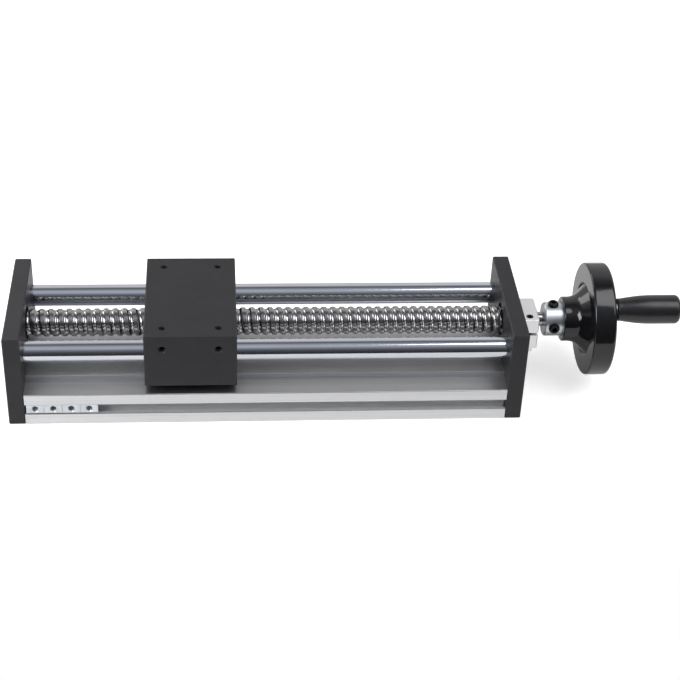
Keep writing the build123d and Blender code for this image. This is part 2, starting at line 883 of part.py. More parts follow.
# Linear ball bearings: grooved steel sleeve, ball cage that runs on the rod, and end seals
cage_length = sleeve_length - 2 * seal_thickness
for name, y in rod_places.items():
    with BuildPart() as bearing_sleeve:
        add(tube(sleeve_left, sleeve_length, sleeve_diameter, sleeve_bore, y, edge_chamfer))
        for x in (
            sleeve_left + sleeve_groove_inset - sleeve_groove_width / 2,
            sleeve_left + sleeve_length - sleeve_groove_inset - sleeve_groove_width / 2,
        ):
            add(
                tube(
                    x,
                    sleeve_groove_width,
                    sleeve_diameter + edge_chamfer,
                    sleeve_diameter - 2 * sleeve_groove_depth,
                    y,
                ),
                mode=Mode.SUBTRACT,
            )
    save(bearing_sleeve.part, f"{name}_linear_bearing_sleeve")
    with BuildPart() as bearing_cage:
        add(
            tube(
                sleeve_left + seal_thickness + seat_gap,
                cage_length - 2 * seat_gap,
                sleeve_bore - 2 * seat_gap,
                rod_diameter + 2 * running_gap,
                y,
            )
        )
    save(bearing_cage.part, f"{name}_linear_bearing_cage")
    with BuildPart() as bearing_seals:
        for x in (sleeve_left, sleeve_left + sleeve_length - seal_thickness):
            add(
                tube(
                    x,
                    seal_thickness,
                    sleeve_bore - 2 * seat_gap,
                    rod_diameter + 2 * passing_gap,
                    y,
                )
            )
    save(bearing_seals.part, f"{name}_linear_bearing_seals")

with BuildPart() as rod_bearing_retaining_rings:
    for y in rod_places.values():
        for x in rod_ring_places:
            add(
                retaining_ring(
                    x,
                    rod_ring_thickness,
                    sleeve_diameter,
                    rod_ring_groove_depth,
                    rod_ring_width,
                    y,
                )
            )
save(rod_bearing_retaining_rings.part, "linear_bearing_retaining_rings")

# Slot nuts in the front slot, side by side from the left plate
slot_face = -stage_width / 2
neck_width = slot_mouth - 2 * slot_nut_neck_gap
head_width = slot_inner_width - 2 * running_gap
head_front = slot_face + slot_lip + running_gap
head_back = slot_face + slot_depth - passing_gap
neck_front = slot_face + slot_nut_recess
first_nut = -plate_inner + slot_nut_end_gap
with BuildPart() as slot_nuts:
    for number in range(slot_nut_count):
        with BuildSketch(Plane.YZ.offset(first_nut + number * slot_nut_pitch)):
            with Locations(((head_front + head_back) / 2, slot_centre)):
                Rectangle(head_back - head_front, head_width)
            with Locations(((neck_front + head_front) / 2, slot_centre)):
                Rectangle(head_front - neck_front, neck_width)
        extrude(amount=slot_nut_length)
        hole_x = first_nut + number * slot_nut_pitch + slot_nut_length / 2
        with Locations(Plane(origin=(hole_x, neck_front, slot_centre), z_dir=(0, -1, 0))):
            CounterSinkHole(
                mount_thread_core / 2, mount_thread_core / 2 + countersink / 2, slot_depth
            )
save(slot_nuts.part, "slot_nuts")
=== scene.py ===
"""Looks of a hand-driven ball screw stage: threads, turned pieces, finishes and a photo studio.

Metres, in the part's own frame: X runs along the travel to the hand wheel, Z is up and the
front faces -Y.
"""

import json
from math import atan2, ceil, cos, pi, radians, sin, sqrt, tan, tau

import bpy
from bpy.props import FloatProperty, FloatVectorProperty, PointerProperty
from bpy.types import Operator, Panel, PropertyGroup
from mathutils import Matrix, Vector

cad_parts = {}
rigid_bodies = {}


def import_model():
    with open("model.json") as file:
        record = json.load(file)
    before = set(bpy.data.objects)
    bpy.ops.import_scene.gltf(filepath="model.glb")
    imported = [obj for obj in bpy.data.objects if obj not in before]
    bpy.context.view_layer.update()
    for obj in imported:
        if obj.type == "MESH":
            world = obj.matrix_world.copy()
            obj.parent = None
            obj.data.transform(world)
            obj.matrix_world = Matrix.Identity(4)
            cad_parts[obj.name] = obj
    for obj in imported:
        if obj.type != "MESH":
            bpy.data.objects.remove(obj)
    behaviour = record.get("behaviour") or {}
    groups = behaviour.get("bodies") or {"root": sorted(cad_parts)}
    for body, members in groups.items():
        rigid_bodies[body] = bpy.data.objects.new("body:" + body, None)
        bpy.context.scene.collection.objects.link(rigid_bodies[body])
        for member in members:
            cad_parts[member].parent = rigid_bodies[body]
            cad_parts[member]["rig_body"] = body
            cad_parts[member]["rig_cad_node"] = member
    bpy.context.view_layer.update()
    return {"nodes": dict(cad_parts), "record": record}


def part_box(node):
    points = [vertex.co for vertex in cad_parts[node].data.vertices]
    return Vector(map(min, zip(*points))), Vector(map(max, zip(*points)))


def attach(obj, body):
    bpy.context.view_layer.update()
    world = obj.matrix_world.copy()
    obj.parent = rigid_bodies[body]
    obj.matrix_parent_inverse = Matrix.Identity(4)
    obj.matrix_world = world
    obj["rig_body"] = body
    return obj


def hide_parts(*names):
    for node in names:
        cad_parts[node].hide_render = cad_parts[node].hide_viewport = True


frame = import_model()

bl_info = {
    "name": "Ball screw stage",
    "version": (1, 0, 0),
    "blender": (4, 5, 0),
    "location": "View3D > Sidebar > Stage",
    "description": "Builds the looks of a hand-driven ball screw stage around its packed model",
    "category": "Object",
}

MM = 0.001
# Points closer than this become one, on a cut only when closer still
WELD = 1e-6
CUT_WELD = WELD / 100
# A point this near to a place lies on it
NEAR = 10 * WELD
# Edges flatter than these are shaded smooth, or are not edges at all
SMOOTH_ANGLE = radians(32)
FLAT_ANGLE = radians(0.5)
# Edges sharper than this are rounded on the slot nuts
EDGE_ANGLE = radians(50)
# Running gap round a bore, and how far a threading tool reaches past the hole's mouth
FIT_GAP = 0.02 * MM
THREAD_OVERRUN = 0.2 * MM
# A metric thread's parts and its flank's depth, as shares of its pitch
ROOT, FLANK, CREST = 0.25, 0.3125, 0.125
THREAD_DEPTH = 0.6134
# A socket's conical floor, as a share of its width
SOCKET_CONE = 0.3
NUT_COUNT = 4
# Where the walls inside the base's slots lie: this far from the middle, between these heights
SLOT_REACH, SLOT_LOW, SLOT_HIGH = 39.2 * MM, 0.8 * MM, 16.5 * MM
# The part of a noise's range that it seldom leaves
NOISE_LOW, NOISE_HIGH = 0.3, 0.7

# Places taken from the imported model
SCREW_LOW, SCREW_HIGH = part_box("ball_screw")
BUSH_LOW, BUSH_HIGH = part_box("wheel_bushing")
AXIS = Vector((0, (BUSH_LOW.y + BUSH_HIGH.y) / 2, (BUSH_LOW.z + BUSH_HIGH.z) / 2))
PLATE_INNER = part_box("right_end_plate")[0].x
WHEEL_LOW, WHEEL_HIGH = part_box("handwheel")
GRIP_LOW, GRIP_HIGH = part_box("handle_grip")
SPINDLE_LOW, SPINDLE_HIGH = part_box("handle_spindle")
HANDLE_CENTRE = Vector((0, (GRIP_LOW.y + GRIP_HIGH.y) / 2, (GRIP_LOW.z + GRIP_HIGH.z) / 2))
CLAMP_LOW, CLAMP_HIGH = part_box("lock_clamp_screw")
SET_LOW, SET_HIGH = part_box("bushing_set_screws")
MOUNTS = {mount["name"]: mount for mount in frame["record"]["mounts"]}

# How bright the studio is from the front horizon (0) over the zenith to the back horizon (1)
STUDIO_BANDS = (
    (0.0, (0.04, 0.04, 0.045)),
    (0.12, (0.1, 0.1, 0.115)),
    (0.22, (0.23, 0.24, 0.28)),
    (0.32, (0.49, 0.52, 0.59)),
    (0.39, (0.53, 0.56, 0.64)),
    (0.45, (0.45, 0.47, 0.53)),
    (0.51, (0.3, 0.31, 0.34)),
    (0.585, (0.12, 0.12, 0.13)),
    (0.655, (0.36, 0.36, 0.37)),
    (0.73, (0.78, 0.78, 0.79)),
    (0.85, (0.78, 0.78, 0.79)),
    (1.0, (0.6, 0.6, 0.6)),
)

# Each soft light's name, place, what it points at, its size and the setting of its power
SOFTBOXES = (
    ("right_softbox", (0.7, -0.32, 0.97), (0.1, 0, 0.03), (0.7, 0.95), "right_power"),
    ("left_softbox", (-0.65, -0.4, 0.5), (-0.1, 0, 0.03), (0.4, 0.5), "left_power"),
    ("back_softbox", (-0.55, 0.6, 0.45), (-0.14, 0, 0.05), (0.5, 0.3), "back_power"),
)

# The pieces that keep their CAD shape, by their finish
CARRIED = {
    "milled_aluminium": ("lock_block",),
    "black_anodised_aluminium": ("left_end_plate", "right_end_plate"),
    "hard_chromed_rod": ("front_guide_rod", "rear_guide_rod"),
    "bright_zinc_steel": ("wheel_bushing",),
    "black_oxide_steel": ("rod_end_screws", "plate_base_screws", "lock_block_screws"),
    "ground_bearing_steel": (
        "left_bearing_outer_ring",
        "right_bearing_outer_ring",
        "left_bearing_inner_ring",
        "right_bearing_inner_ring",
        "screw_bearing_shields",
        "front_linear_bearing_sleeve",
        "rear_linear_bearing_sleeve",
    ),
    "oiled_nut_steel": ("ball_nut", "nut_key"),
    "spring_steel": ("nut_retaining_rings", "linear_bearing_retaining_rings"),
    "white_resin": (
        "nut_wipers",
        "front_linear_bearing_cage",
        "rear_linear_bearing_cage",
    ),
    "seal_rubber": ("front_linear_bearing_seals", "rear_linear_bearing_seals"),
}


def length(name, description, default):
    """A length property in metres, given in millimetres."""
    return FloatProperty(
        name=name,
        description=description,
        default=default * MM,
        unit="LENGTH",
        precision=5,
        min=0,
    )


def colour(name, description, *rgb):
    """A linear colour property."""
    return FloatVectorProperty(
        name=name, description=description, default=rgb, subtype="COLOR", min=0, max=1, size=3
    )


def level(name, description, default):
    """A plain number property."""
    return FloatProperty(name=name, description=description, default=default, min=0)


def heading(name, description, default):
    """An angle property, given in degrees."""
    return FloatProperty(
        name=name, description=description, default=radians(default), subtype="ANGLE"
    )


class ScrewSizes(PropertyGroup):
    """Sizes of the ball screw and of the metric threads."""

    lead: length("Lead", "Travel of the carriage for one turn of the ball screw", 5)
    thread_radius: length("Thread radius", "Outer radius of the thread", 7.7)
    groove_radius: length("Groove radius", "Radius of the ball groove's section", 1.65)
    ball_circle: length("Ball circle", "Radius from the screw's axis to the balls' centres", 8.375)
    land_rounding: length("Land rounding", "Chamfer between the land and the ball groove", 0.12)
    thread_gap: length("Thread gap", "Space between the thread's end and the end plate", 0.5)
    neck_radius: length("Neck radius", "Radius of the neck beside the bearing", 5.5)
    seat_radius: length("Seat radius", "Radius of the bearing's seat", 5)
    journal_radius: length("Journal radius", "Radius of the journal outside the bearing", 4)
    bearing_recess: length("Bearing recess", "How deep the bearing sits in the end plate", 1.3)
    bearing_width: length("Bearing width", "Width of the screw's ball bearings", 5)
    end_chamfer: length("End chamfer", "Chamfer on the shaft's ends", 0.5)
    coarse_pitch: length("M6 pitch", "Pitch of the M6 threads", 1)
    fine_pitch: length("M4 pitch", "Pitch of the M4 threads", 0.7)
    tapped_major: length("M4 major radius", "Outer radius of the tapped M4 threads", 2.02)
    tapped_minor: length("M4 minor radius", "Inner radius of the tapped M4 threads", 1.67)
    top_depth: length("Top thread depth", "Depth of the threads in the carriage's top", 5.6)
    side_depth: length("Side thread depth", "Depth of the threads in its front and rear", 4.1)
    set_socket: length("Set screw socket", "Width across flats in the bush's set screws", 3)
    set_socket_depth: length("Set screw socket depth", "Depth of that socket", 2.8)
    clamp_socket: length("Clamp screw socket", "Width across flats in the clamp screw", 2)
    clamp_socket_depth: length("Clamp screw socket depth", "Depth of that socket", 2)


class BaseSizes(PropertyGroup):
    """Sizes of the base profile's long edges and of the slot nuts' edges."""

    corner_radius: length("Corner radius", "Radius of the profile's outer corners", 0.6)
    mouth_radius: length("Mouth radius", "Radius of the edges of its slots' mouths", 0.25)
    mouth_width: length("Mouth width", "Width of its slots' mouths", 6.2)
    land_half_width: length("Land half width", "Half the width of the raised land", 26)
    nut_edge: length("Nut edge", "Rounding of the slot nuts' edges", 0.18)


class WheelSizes(PropertyGroup):
    """Sizes of the hand wheel and its handle."""

    hub_radius: length("Hub radius", "Radius of the hub", 12.5)
    hub_cylinder: length("Hub cylinder", "Straight length of the hub before the web flares", 7)
    hub_length: length("Hub length", "Whole length of the hub", 18.8)
    rim_setback: length("Rim setback", "From the hub's face to the rim's face", 12.7)
    rim_inner: length("Rim inner radius", "Inner radius of the rim", 20)
    crease: length("Crease", "Depth of the crease between the web and the rim", 1)
    web: length("Web", "Thickness of the web along the axis", 5.4)
    web_flare: length("Web flare", "Radius of the flare between the hub and the web", 8)
    rim_left_radius: length("Rim left rounding", "Rounding of the rim towards the stage", 1.2)
    rim_right_radius: length("Rim right rounding", "Rounding of the rim towards the handle", 2)
    grip_base: length("Grip base radius", "Radius of the grip at the rim", 6.2)
    grip_waist: length("Grip waist", "Straight length of the grip at the rim", 1.6)
    grip_swell: length("Grip swell", "Length over which the grip swells", 17.4)
    grip_end: length("Grip end rounding", "Rounding of the grip's free end", 2.6)
    grip_bore: length("Grip bore radius", "Radius of the grip's bore", 3.55)
    chamber_radius: length("Chamber radius", "Radius of the chamber round the spindle's head", 5)
    chamber_length: length("Chamber length", "Length of the chamber round the spindle's head", 3.6)
    spindle_thread: length("Spindle thread radius", "Radius of the spindle in the rim", 3)
    spindle_flange: length("Spindle flange", "Thickness of the spindle's flange", 0.8)
    spindle_radius: length("Spindle radius", "Radius of the spindle inside the grip", 3.5)
    spindle_head: length("Spindle head", "Length of the spindle's head", 3)


class Finishes(PropertyGroup):
    """Base colours of the finishes."""

    clear: colour("Clear anodised", "Aluminium of the base profile", 0.66, 0.662, 0.67)
    milled: colour("Milled aluminium", "Aluminium of the lock block", 0.78, 0.78, 0.775)
    black: colour("Black anodised", "Plates and carriage", 0.016, 0.016, 0.018)
    chrome: colour("Hard chrome", "Guide rods", 0.62, 0.64, 0.68)
    rolled: colour("Rolled steel", "Ball screw", 0.385, 0.378, 0.372)
    zinc: colour("Bright zinc", "Bush, spindle and slot nuts", 0.62, 0.65, 0.68)
    oxide: colour("Black oxide", "Screws", 0.012, 0.012, 0.013)
    gloss: colour("Gloss black", "Hand wheel", 0.006, 0.006, 0.007)
    satin: colour("Satin black", "Grip", 0.011, 0.011, 0.013)
    ground: colour("Ground steel", "Bearing rings", 0.6, 0.61, 0.63)
    dark_steel: colour("Dark steel", "Ball nut and its key", 0.3, 0.31, 0.33)
    spring: colour("Spring steel", "Retaining rings", 0.1, 0.1, 0.11)
    resin: colour("White resin", "Cages and wipers", 0.72, 0.7, 0.64)
    rubber: colour("Black rubber", "Seals", 0.015, 0.015, 0.015)


class Studio(PropertyGroup):
    """Light, floor and camera."""

    right_power: level("Right light", "Power of the softbox at the right", 7)
    left_power: level("Left light", "Power of the softbox at the left", 5.5)
    back_power: level("Back light", "Power of the softbox behind the stage", 1.5)
    fill_light: level("Fill light", "Even light from all round", 0.42)
    floor_glow: level("Floor glow", "What the floor adds to the background", 0.58)
    mirrored_glow: level("Mirrored glow", "What the floor adds in reflections", 0.06)
    floor: colour("Floor", "Colour of the floor", 0.86, 0.86, 0.86)
    floor_front: length("Floor front", "How far the pale floor reaches in front of the stage", 160)
    focal_length: FloatProperty(
        name="Focal length",
        description="Focal length of the camera",
        default=87.09,
        min=1,
        unit="CAMERA",
    )
    camera_place: FloatVectorProperty(
        name="Camera place",
        description="Where the camera stands",
        default=(-0.02796, -0.74998, 0.55888),
        subtype="TRANSLATION",
        size=3,
    )
    camera_yaw: heading("Yaw", "Turn to the right", 5.29)
    camera_pitch: heading("Pitch", "Angle below the horizon", 35.29)
    camera_roll: heading("Roll", "Lean to the left", 2.56)


def rest():
    """Leaves edit mode and deselects everything, before the next operator acts."""
    active = bpy.context.object
    if active and active.mode != "OBJECT":
        bpy.ops.object.mode_set(mode="OBJECT")
    bpy.ops.object.select_all(action="DESELECT")


def pick(piece):
    """Selects one piece only and makes it active."""
    rest()
    piece.select_set(True)
    bpy.context.view_layer.objects.active = piece


def edit(piece):
    """Opens a piece in edit mode with all of it selected."""
    pick(piece)
    bpy.ops.object.mode_set(mode="EDIT")
    bpy.ops.mesh.select_all(action="SELECT")


def modified(piece, kind, **settings):
    """Gives a piece a modifier with these settings and applies it."""
    pick(piece)
    bpy.ops.object.modifier_add(type=kind)
    step = piece.modifiers[-1]
    for setting, value in settings.items():
        setattr(step, setting, value)
    bpy.ops.object.modifier_apply(modifier=step.name)


def close_mesh(piece):
    """Merges what lies together and turns the faces outwards."""
    edit(piece)
    bpy.ops.mesh.remove_doubles(threshold=WELD)
    bpy.ops.mesh.normals_make_consistent(inside=False)
    rest()


def drawn(points, closed=False):
    """An outline, drawn by extruding one vertex from point to point."""
    rest()
    bpy.ops.mesh.primitive_plane_add(size=MM, location=points[0])
    piece = bpy.context.object
    edit(piece)
    bpy.ops.mesh.merge(type="CENTER")
    ends = points[1:] + points[:1] if closed else points[1:]
    for here, there in zip(points, ends):
        bpy.ops.mesh.extrude_region_move(TRANSFORM_OT_translate={"value": there - here})
    bpy.ops.mesh.select_all(action="SELECT")
    bpy.ops.mesh.remove_doubles(threshold=WELD)
    pick(piece)
    bpy.ops.object.transform_apply(location=True, rotation=False, scale=False)
    return piece


def rounded(corners, segments=5):
    """The (x, radius) points of a closed outline of (x, radius, corner radius) triples."""
    points = []
    for number, (x, radius, fillet) in enumerate(corners):
        here = Vector((x, radius))
        if not fillet:
            points.append(here)
            continue
        before = (Vector(corners[number - 1][:2]) - here).normalized()
        after = (Vector(corners[(number + 1) % len(corners)][:2]) - here).normalized()
        half = before.angle(after) / 2
        middle = here + (before + after).normalized() * fillet / sin(half)
        start = here + before * fillet / tan(half) - middle
        end = here + after * fillet / tan(half) - middle
        turn = atan2(start.x * end.y - start.y * end.x, start.dot(end))
        for step in range(segments + 1):
            angle = turn * step / segments
            points.append(middle + Matrix.Rotation(angle, 2) @ start)
    return points


def turned(points, steps, centre=AXIS, closed=False):
    """Spins an outline of (x, radius) points round the line along X through centre."""
    piece = drawn([Vector((x, centre.y, centre.z + radius)) for x, radius in points], closed)
    edit(piece)
    bpy.ops.mesh.spin(steps=steps, angle=tau, center=centre, axis=(1, 0, 0))
    close_mesh(piece)
    return piece


def threaded(section, lead, bar_length, steps, phase=0.0):
    """A threaded bar along X from the origin, swept from the (x, radius) outline of one lead."""
    spare_turns = 2
    start = phase % lead - spare_turns * lead
    piece = drawn([Vector((x + start, 0, radius)) for x, radius in section])
    modified(
        piece,
        "SCREW",
        axis="X",
        angle=tau,
        screw_offset=lead,
        iterations=ceil(bar_length / lead) + spare_turns + 1,
        steps=steps,
        render_steps=steps,
    )
    edit(piece)
    bpy.ops.mesh.remove_doubles(threshold=WELD)
    for x, at_start in ((0, True), (bar_length, False)):
        bpy.ops.mesh.select_all(action="SELECT")
        bpy.ops.mesh.bisect(
            plane_co=(x, 0, 0),
            plane_no=(1, 0, 0),
            use_fill=True,
            clear_inner=at_start,
            clear_outer=not at_start,
            threshold=CUT_WELD,
        )
    close_mesh(piece)
    return piece


def metric_section(pitch, major, minor):
    """One pitch of a metric thread as (x, radius) points: root, flank, crest and flank."""
    return [
        (0, minor),
        (pitch * ROOT, minor),
        (pitch * (ROOT + FLANK), major),
        (pitch * (ROOT + FLANK + CREST), major),
        (pitch, minor),
    ]


def combine(piece, tool, operation):
    """Joins a piece with, cuts it by or trims it to a tool, and removes the tool."""
    modified(piece, "BOOLEAN", operation=operation, solver="EXACT", object=tool)
    pick(tool)
    bpy.ops.object.delete()


def moved(piece, place, turn=Matrix.Identity(4)):
    """Puts a piece that was made at the origin in its place, turned first."""
    pick(piece)
    piece.matrix_world = Matrix.Translation(place) @ turn
    bpy.ops.object.transform_apply(location=True, rotation=True, scale=True)
    return piece


def copied(piece):
    """A copy of a piece, with a mesh of its own."""
    pick(piece)
    bpy.ops.object.duplicate(linked=False)
    return bpy.context.object


def copied_solid(node):
    """A joined-up copy of a CAD node's mesh, to cut finer detail into."""
    piece = copied(frame["nodes"][node])
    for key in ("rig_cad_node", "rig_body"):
        del piece[key]
    piece.parent = None
    edit(piece)
    bpy.ops.mesh.customdata_custom_splitnormals_clear()
    bpy.ops.mesh.remove_doubles(threshold=WELD)
    bpy.ops.mesh.dissolve_limited(angle_limit=FLAT_ANGLE)
    rest()
    return piece


def seat(piece, name, body, finish, slot, *nodes):
    """Names a finished piece, gives it its finish and body, and hides the CAD nodes it takes the
    place of.
    """
    edit(piece)
    bpy.ops.mesh.remove_doubles(threshold=WELD)
    bpy.ops.mesh.dissolve_degenerate(threshold=WELD)
    pick(piece)
    bpy.ops.object.shade_smooth_by_angle(angle=SMOOTH_ANGLE)
    modified(piece, "WEIGHTED_NORMAL", keep_sharp=True)
    piece.name = name
    piece.data.name = name
    piece.data.materials.clear()
    piece.data.materials.append(finish_named(finish))
    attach(piece, body)
    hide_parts(*nodes)


def new_finish(name, base, metallic, roughness):
    """A material with its constants on the shader's own sockets."""
    material = bpy.data.materials.new(name)
    material.use_nodes = True
    shader = material.node_tree.nodes["Principled BSDF"]
    shader.inputs["Base Color"].default_value = (*base, 1)
    shader.inputs["Metallic"].default_value = metallic
    shader.inputs["Roughness"].default_value = roughness
    return material


def grain(material, scale, detail=3):
    """A noise on object coordinates, with its own number of grains per metre along X, Y and Z."""
    nodes, links = material.node_tree.nodes, material.node_tree.links
    place = nodes.new("ShaderNodeTexCoord")
    mapping = nodes.new("ShaderNodeMapping")
    mapping.inputs["Scale"].default_value = scale
    noise = nodes.new("ShaderNodeTexNoise")
    noise.inputs["Scale"].default_value = 1
    noise.inputs["Detail"].default_value = detail
    links.new(place.outputs["Object"], mapping.inputs["Vector"])
    links.new(mapping.outputs["Vector"], noise.inputs["Vector"])
    return noise.outputs["Fac"]


def speckle(material, per_metre, detail=3):
    """A grain that is the same in all directions."""
    return grain(material, (per_metre,) * 3, detail)


def shade_roughness(material, fac, low, high):
    """Lets a noise vary the roughness."""
    nodes, links = material.node_tree.nodes, material.node_tree.links
    spread = nodes.new("ShaderNodeMapRange")
    spread.inputs["From Min"].default_value = NOISE_LOW
    spread.inputs["From Max"].default_value = NOISE_HIGH
    spread.inputs["To Min"].default_value = low
    spread.inputs["To Max"].default_value = high
    links.new(fac, spread.inputs["Value"])
    links.new(spread.outputs["Result"], nodes["Principled BSDF"].inputs["Roughness"])


def shade_colour(material, fac, base, darkest, lightest):
    """Lets a noise vary the base colour between two shares of it."""
    nodes, links = material.node_tree.nodes, material.node_tree.links
    ramp = nodes.new("ShaderNodeValToRGB")
    ramp.color_ramp.elements[0].position = NOISE_LOW
    ramp.color_ramp.elements[1].position = NOISE_HIGH
    ramp.color_ramp.elements[0].color = (*(darkest * part for part in base), 1)
    ramp.color_ramp.elements[1].color = (*(min(1, lightest * part) for part in base), 1)
    links.new(fac, ramp.inputs["Fac"])
    links.new(ramp.outputs["Color"], nodes["Principled BSDF"].inputs["Base Color"])


def emboss(material, fac, depth, strength):
    """Raises the surface by a noise, to a real depth."""
    nodes, links = material.node_tree.nodes, material.node_tree.links
    bump = nodes.new("ShaderNodeBump")
    bump.inputs["Distance"].default_value = depth
    bump.inputs["Strength"].default_value = strength
    links.new(fac, bump.inputs["Height"])
    links.new(bump.outputs["Normal"], nodes["Principled BSDF"].inputs["Normal"])


def maths(tree, operation, *values):
    """The result of a Math node on sockets and numbers."""
    node = tree.nodes.new("ShaderNodeMath")
    node.operation = operation
    for socket, value in zip(node.inputs, values):
        if isinstance(value, bpy.types.NodeSocket):
            tree.links.new(value, socket)
        else:
            socket.default_value = value
    return node.outputs["Value"]


def slot_walls(tree):
    """1 on the walls inside the base's slots, 0 on its outer faces."""
    place = tree.nodes.new("ShaderNodeTexCoord")
    parts = tree.nodes.new("ShaderNodeSeparateXYZ")
    tree.links.new(place.outputs["Object"], parts.inputs["Vector"])
    away = maths(tree, "ABSOLUTE", parts.outputs["Y"])
    within = maths(tree, "LESS_THAN", away, SLOT_REACH)
    above = maths(tree, "GREATER_THAN", parts.outputs["Z"], SLOT_LOW)
    below = maths(tree, "LESS_THAN", parts.outputs["Z"], SLOT_HIGH)
    return maths(tree, "MULTIPLY", within, maths(tree, "MULTIPLY", above, below))


def clear_anodised(name, base):
    """Drawn aluminium profile: satin, with fine die lines along its length and duller slots."""
    material = new_finish(name, base, metallic=1.0, roughness=0.34)
    nodes, links = material.node_tree.nodes, material.node_tree.links
    lines = grain(material, (4, 1600, 1600), detail=4)
    shade_colour(material, lines, base, darkest=0.88, lightest=1.04)
    shade_roughness(material, lines, low=0.29, high=0.39)
    inside = slot_walls(material.node_tree)
    dull = 0.6
    for channel in ("Roughness", "Metallic"):
        socket = nodes["Principled BSDF"].inputs[channel]
        blend = nodes.new("ShaderNodeMix")
        if socket.links:
            links.new(socket.links[0].from_socket, blend.inputs["A"])
        else:
            blend.inputs["A"].default_value = socket.default_value
        blend.inputs["B"].default_value = dull
        links.new(inside, blend.inputs["Factor"])
        links.new(blend.outputs["Result"], socket)
    scratches = grain(material, (2, 2600, 2600), detail=2)
    emboss(material, scratches, depth=0.02 * MM, strength=0.5)
    return material


def milled_aluminium(name, base):
    """Milled aluminium block with close cutter marks."""
    material = new_finish(name, base, metallic=0.35, roughness=0.5)
    marks = grain(material, (5200, 900, 60))
    shade_colour(material, marks, base, darkest=0.92, lightest=1.04)
    shade_roughness(material, marks, low=0.44, high=0.56)
    emboss(material, marks, depth=0.02 * MM, strength=0.5)
    return material


def black_anodised(name, base):
    """Black anodised, finely milled aluminium."""
    material = new_finish(name, base, metallic=0.0, roughness=0.42)
    shader = material.node_tree.nodes["Principled BSDF"]
    shader.inputs["Specular IOR Level"].default_value = 0.28
    shade_colour(material, speckle(material, 60, detail=4), base, darkest=0.88, lightest=1.12)
    shade_roughness(material, speckle(material, 260, detail=5), low=0.39, high=0.45)
    emboss(material, speckle(material, 7000, detail=2), depth=0.01 * MM, strength=0.6)
    return material


def hard_chrome(name, base):
    """Ground and chromed shafting: very fine rings round the rod."""
    material = new_finish(name, base, metallic=1.0, roughness=0.1)
    rings = grain(material, (5200, 40, 40))
    shade_roughness(material, rings, low=0.07, high=0.14)
    shade_colour(material, grain(material, (30, 300, 300)), base, darkest=0.94, lightest=1.03)
    emboss(material, rings, depth=0.004 * MM, strength=0.4)
    return material


def rolled_thread(name, base):
    """Rolled and polished thread with an oily sheen."""
    material = new_finish(name, base, metallic=1.0, roughness=0.19)
    shade_colour(material, speckle(material, 500, detail=4), base, darkest=0.78, lightest=1.1)
    shade_roughness(material, speckle(material, 900), low=0.1, high=0.19)
    emboss(material, speckle(material, 3000, detail=2), depth=0.008 * MM, strength=0.5)
    return material


def bright_zinc(name, base):
    """Turned steel with bright zinc plating: rings left by the tool."""
    material = new_finish(name, base, metallic=1.0, roughness=0.3)
    rings = grain(material, (5600, 60, 60))
    shade_colour(material, speckle(material, 220, detail=4), base, darkest=0.88, lightest=1.06)
    shade_roughness(material, rings, low=0.3, high=0.44)
    emboss(material, rings, depth=0.012 * MM, strength=0.5)
    return material


def black_oxide(name, base):
    """Blackened steel screws, slightly oily."""
    material = new_finish(name, base, metallic=0.6, roughness=0.34)
    shade_colour(material, speckle(material, 1500), base, darkest=0.7, lightest=1.6)
    shade_roughness(material, speckle(material, 2400, detail=2), low=0.26, high=0.42)
    return material


def gloss_black(name, base):
    """Polished black thermoset with a very slight waviness."""
    material = new_finish(name, base, metallic=0.0, roughness=0.1)
    shade_roughness(material, speckle(material, 700, detail=4), low=0.07, high=0.15)
    shade_colour(material, speckle(material, 90), base, darkest=0.8, lightest=1.3)
    emboss(material, speckle(material, 160, detail=2), depth=0.06 * MM, strength=0.25)
    return material


def satin_black(name, base):
    """Satin black thermoset of the grip, handled smooth."""
    material = new_finish(name, base, metallic=0.0, roughness=0.3)
    shade_roughness(material, speckle(material, 500, detail=4), low=0.27, high=0.35)
    shade_colour(material, speckle(material, 120), base, darkest=0.85, lightest=1.25)
    emboss(material, speckle(material, 2600, detail=2), depth=0.003 * MM, strength=0.3)
    return material


def ground_steel(name, base, low, high):
    """Ground steel, between its least and its greatest roughness."""
    material = new_finish(name, base, metallic=1.0, roughness=low)
    shade_roughness(material, grain(material, (3000, 200, 200)), low, high)
    shade_colour(material, speckle(material, 400), base, darkest=0.88, lightest=1.06)
    return material


def moulded(name, base, low, high):
    """Plain moulded resin or rubber with a fine matt surface."""
    material = new_finish(name, base, metallic=0.0, roughness=low)
    fine = speckle(material, 2600, detail=2)
    shade_roughness(material, fine, low, high)
    shade_colour(material, speckle(material, 300), base, darkest=0.88, lightest=1.08)
    emboss(material, fine, depth=0.01 * MM, strength=0.6)
    return material


# How each finish is made: its maker, its colour, and its roughness where the maker asks for it
MAKERS = {
    "clear_anodised_profile": (clear_anodised, "clear"),
    "milled_aluminium": (milled_aluminium, "milled"),
    "black_anodised_aluminium": (black_anodised, "black"),
    "hard_chromed_rod": (hard_chrome, "chrome"),
    "rolled_ball_screw": (rolled_thread, "rolled"),
    "bright_zinc_steel": (bright_zinc, "zinc"),
    "black_oxide_steel": (black_oxide, "oxide"),
    "gloss_black_thermoset": (gloss_black, "gloss"),
    "satin_black_thermoset": (satin_black, "satin"),
    "ground_bearing_steel": (ground_steel, "ground", 0.16, 0.28),
    "oiled_nut_steel": (ground_steel, "dark_steel", 0.22, 0.36),
    "spring_steel": (ground_steel, "spring", 0.3, 0.42),
    "white_resin": (moulded, "resin", 0.4, 0.55),
    "seal_rubber": (moulded, "rubber", 0.5, 0.65),
}


def finish_named(name):
    """A finish, made the first time that it is asked for."""
    if name in bpy.data.materials:
        return bpy.data.materials[name]
    maker, colour_name, *limits = MAKERS[name]
    return maker(name, getattr(bpy.context.scene.stage_finishes, colour_name), *limits)


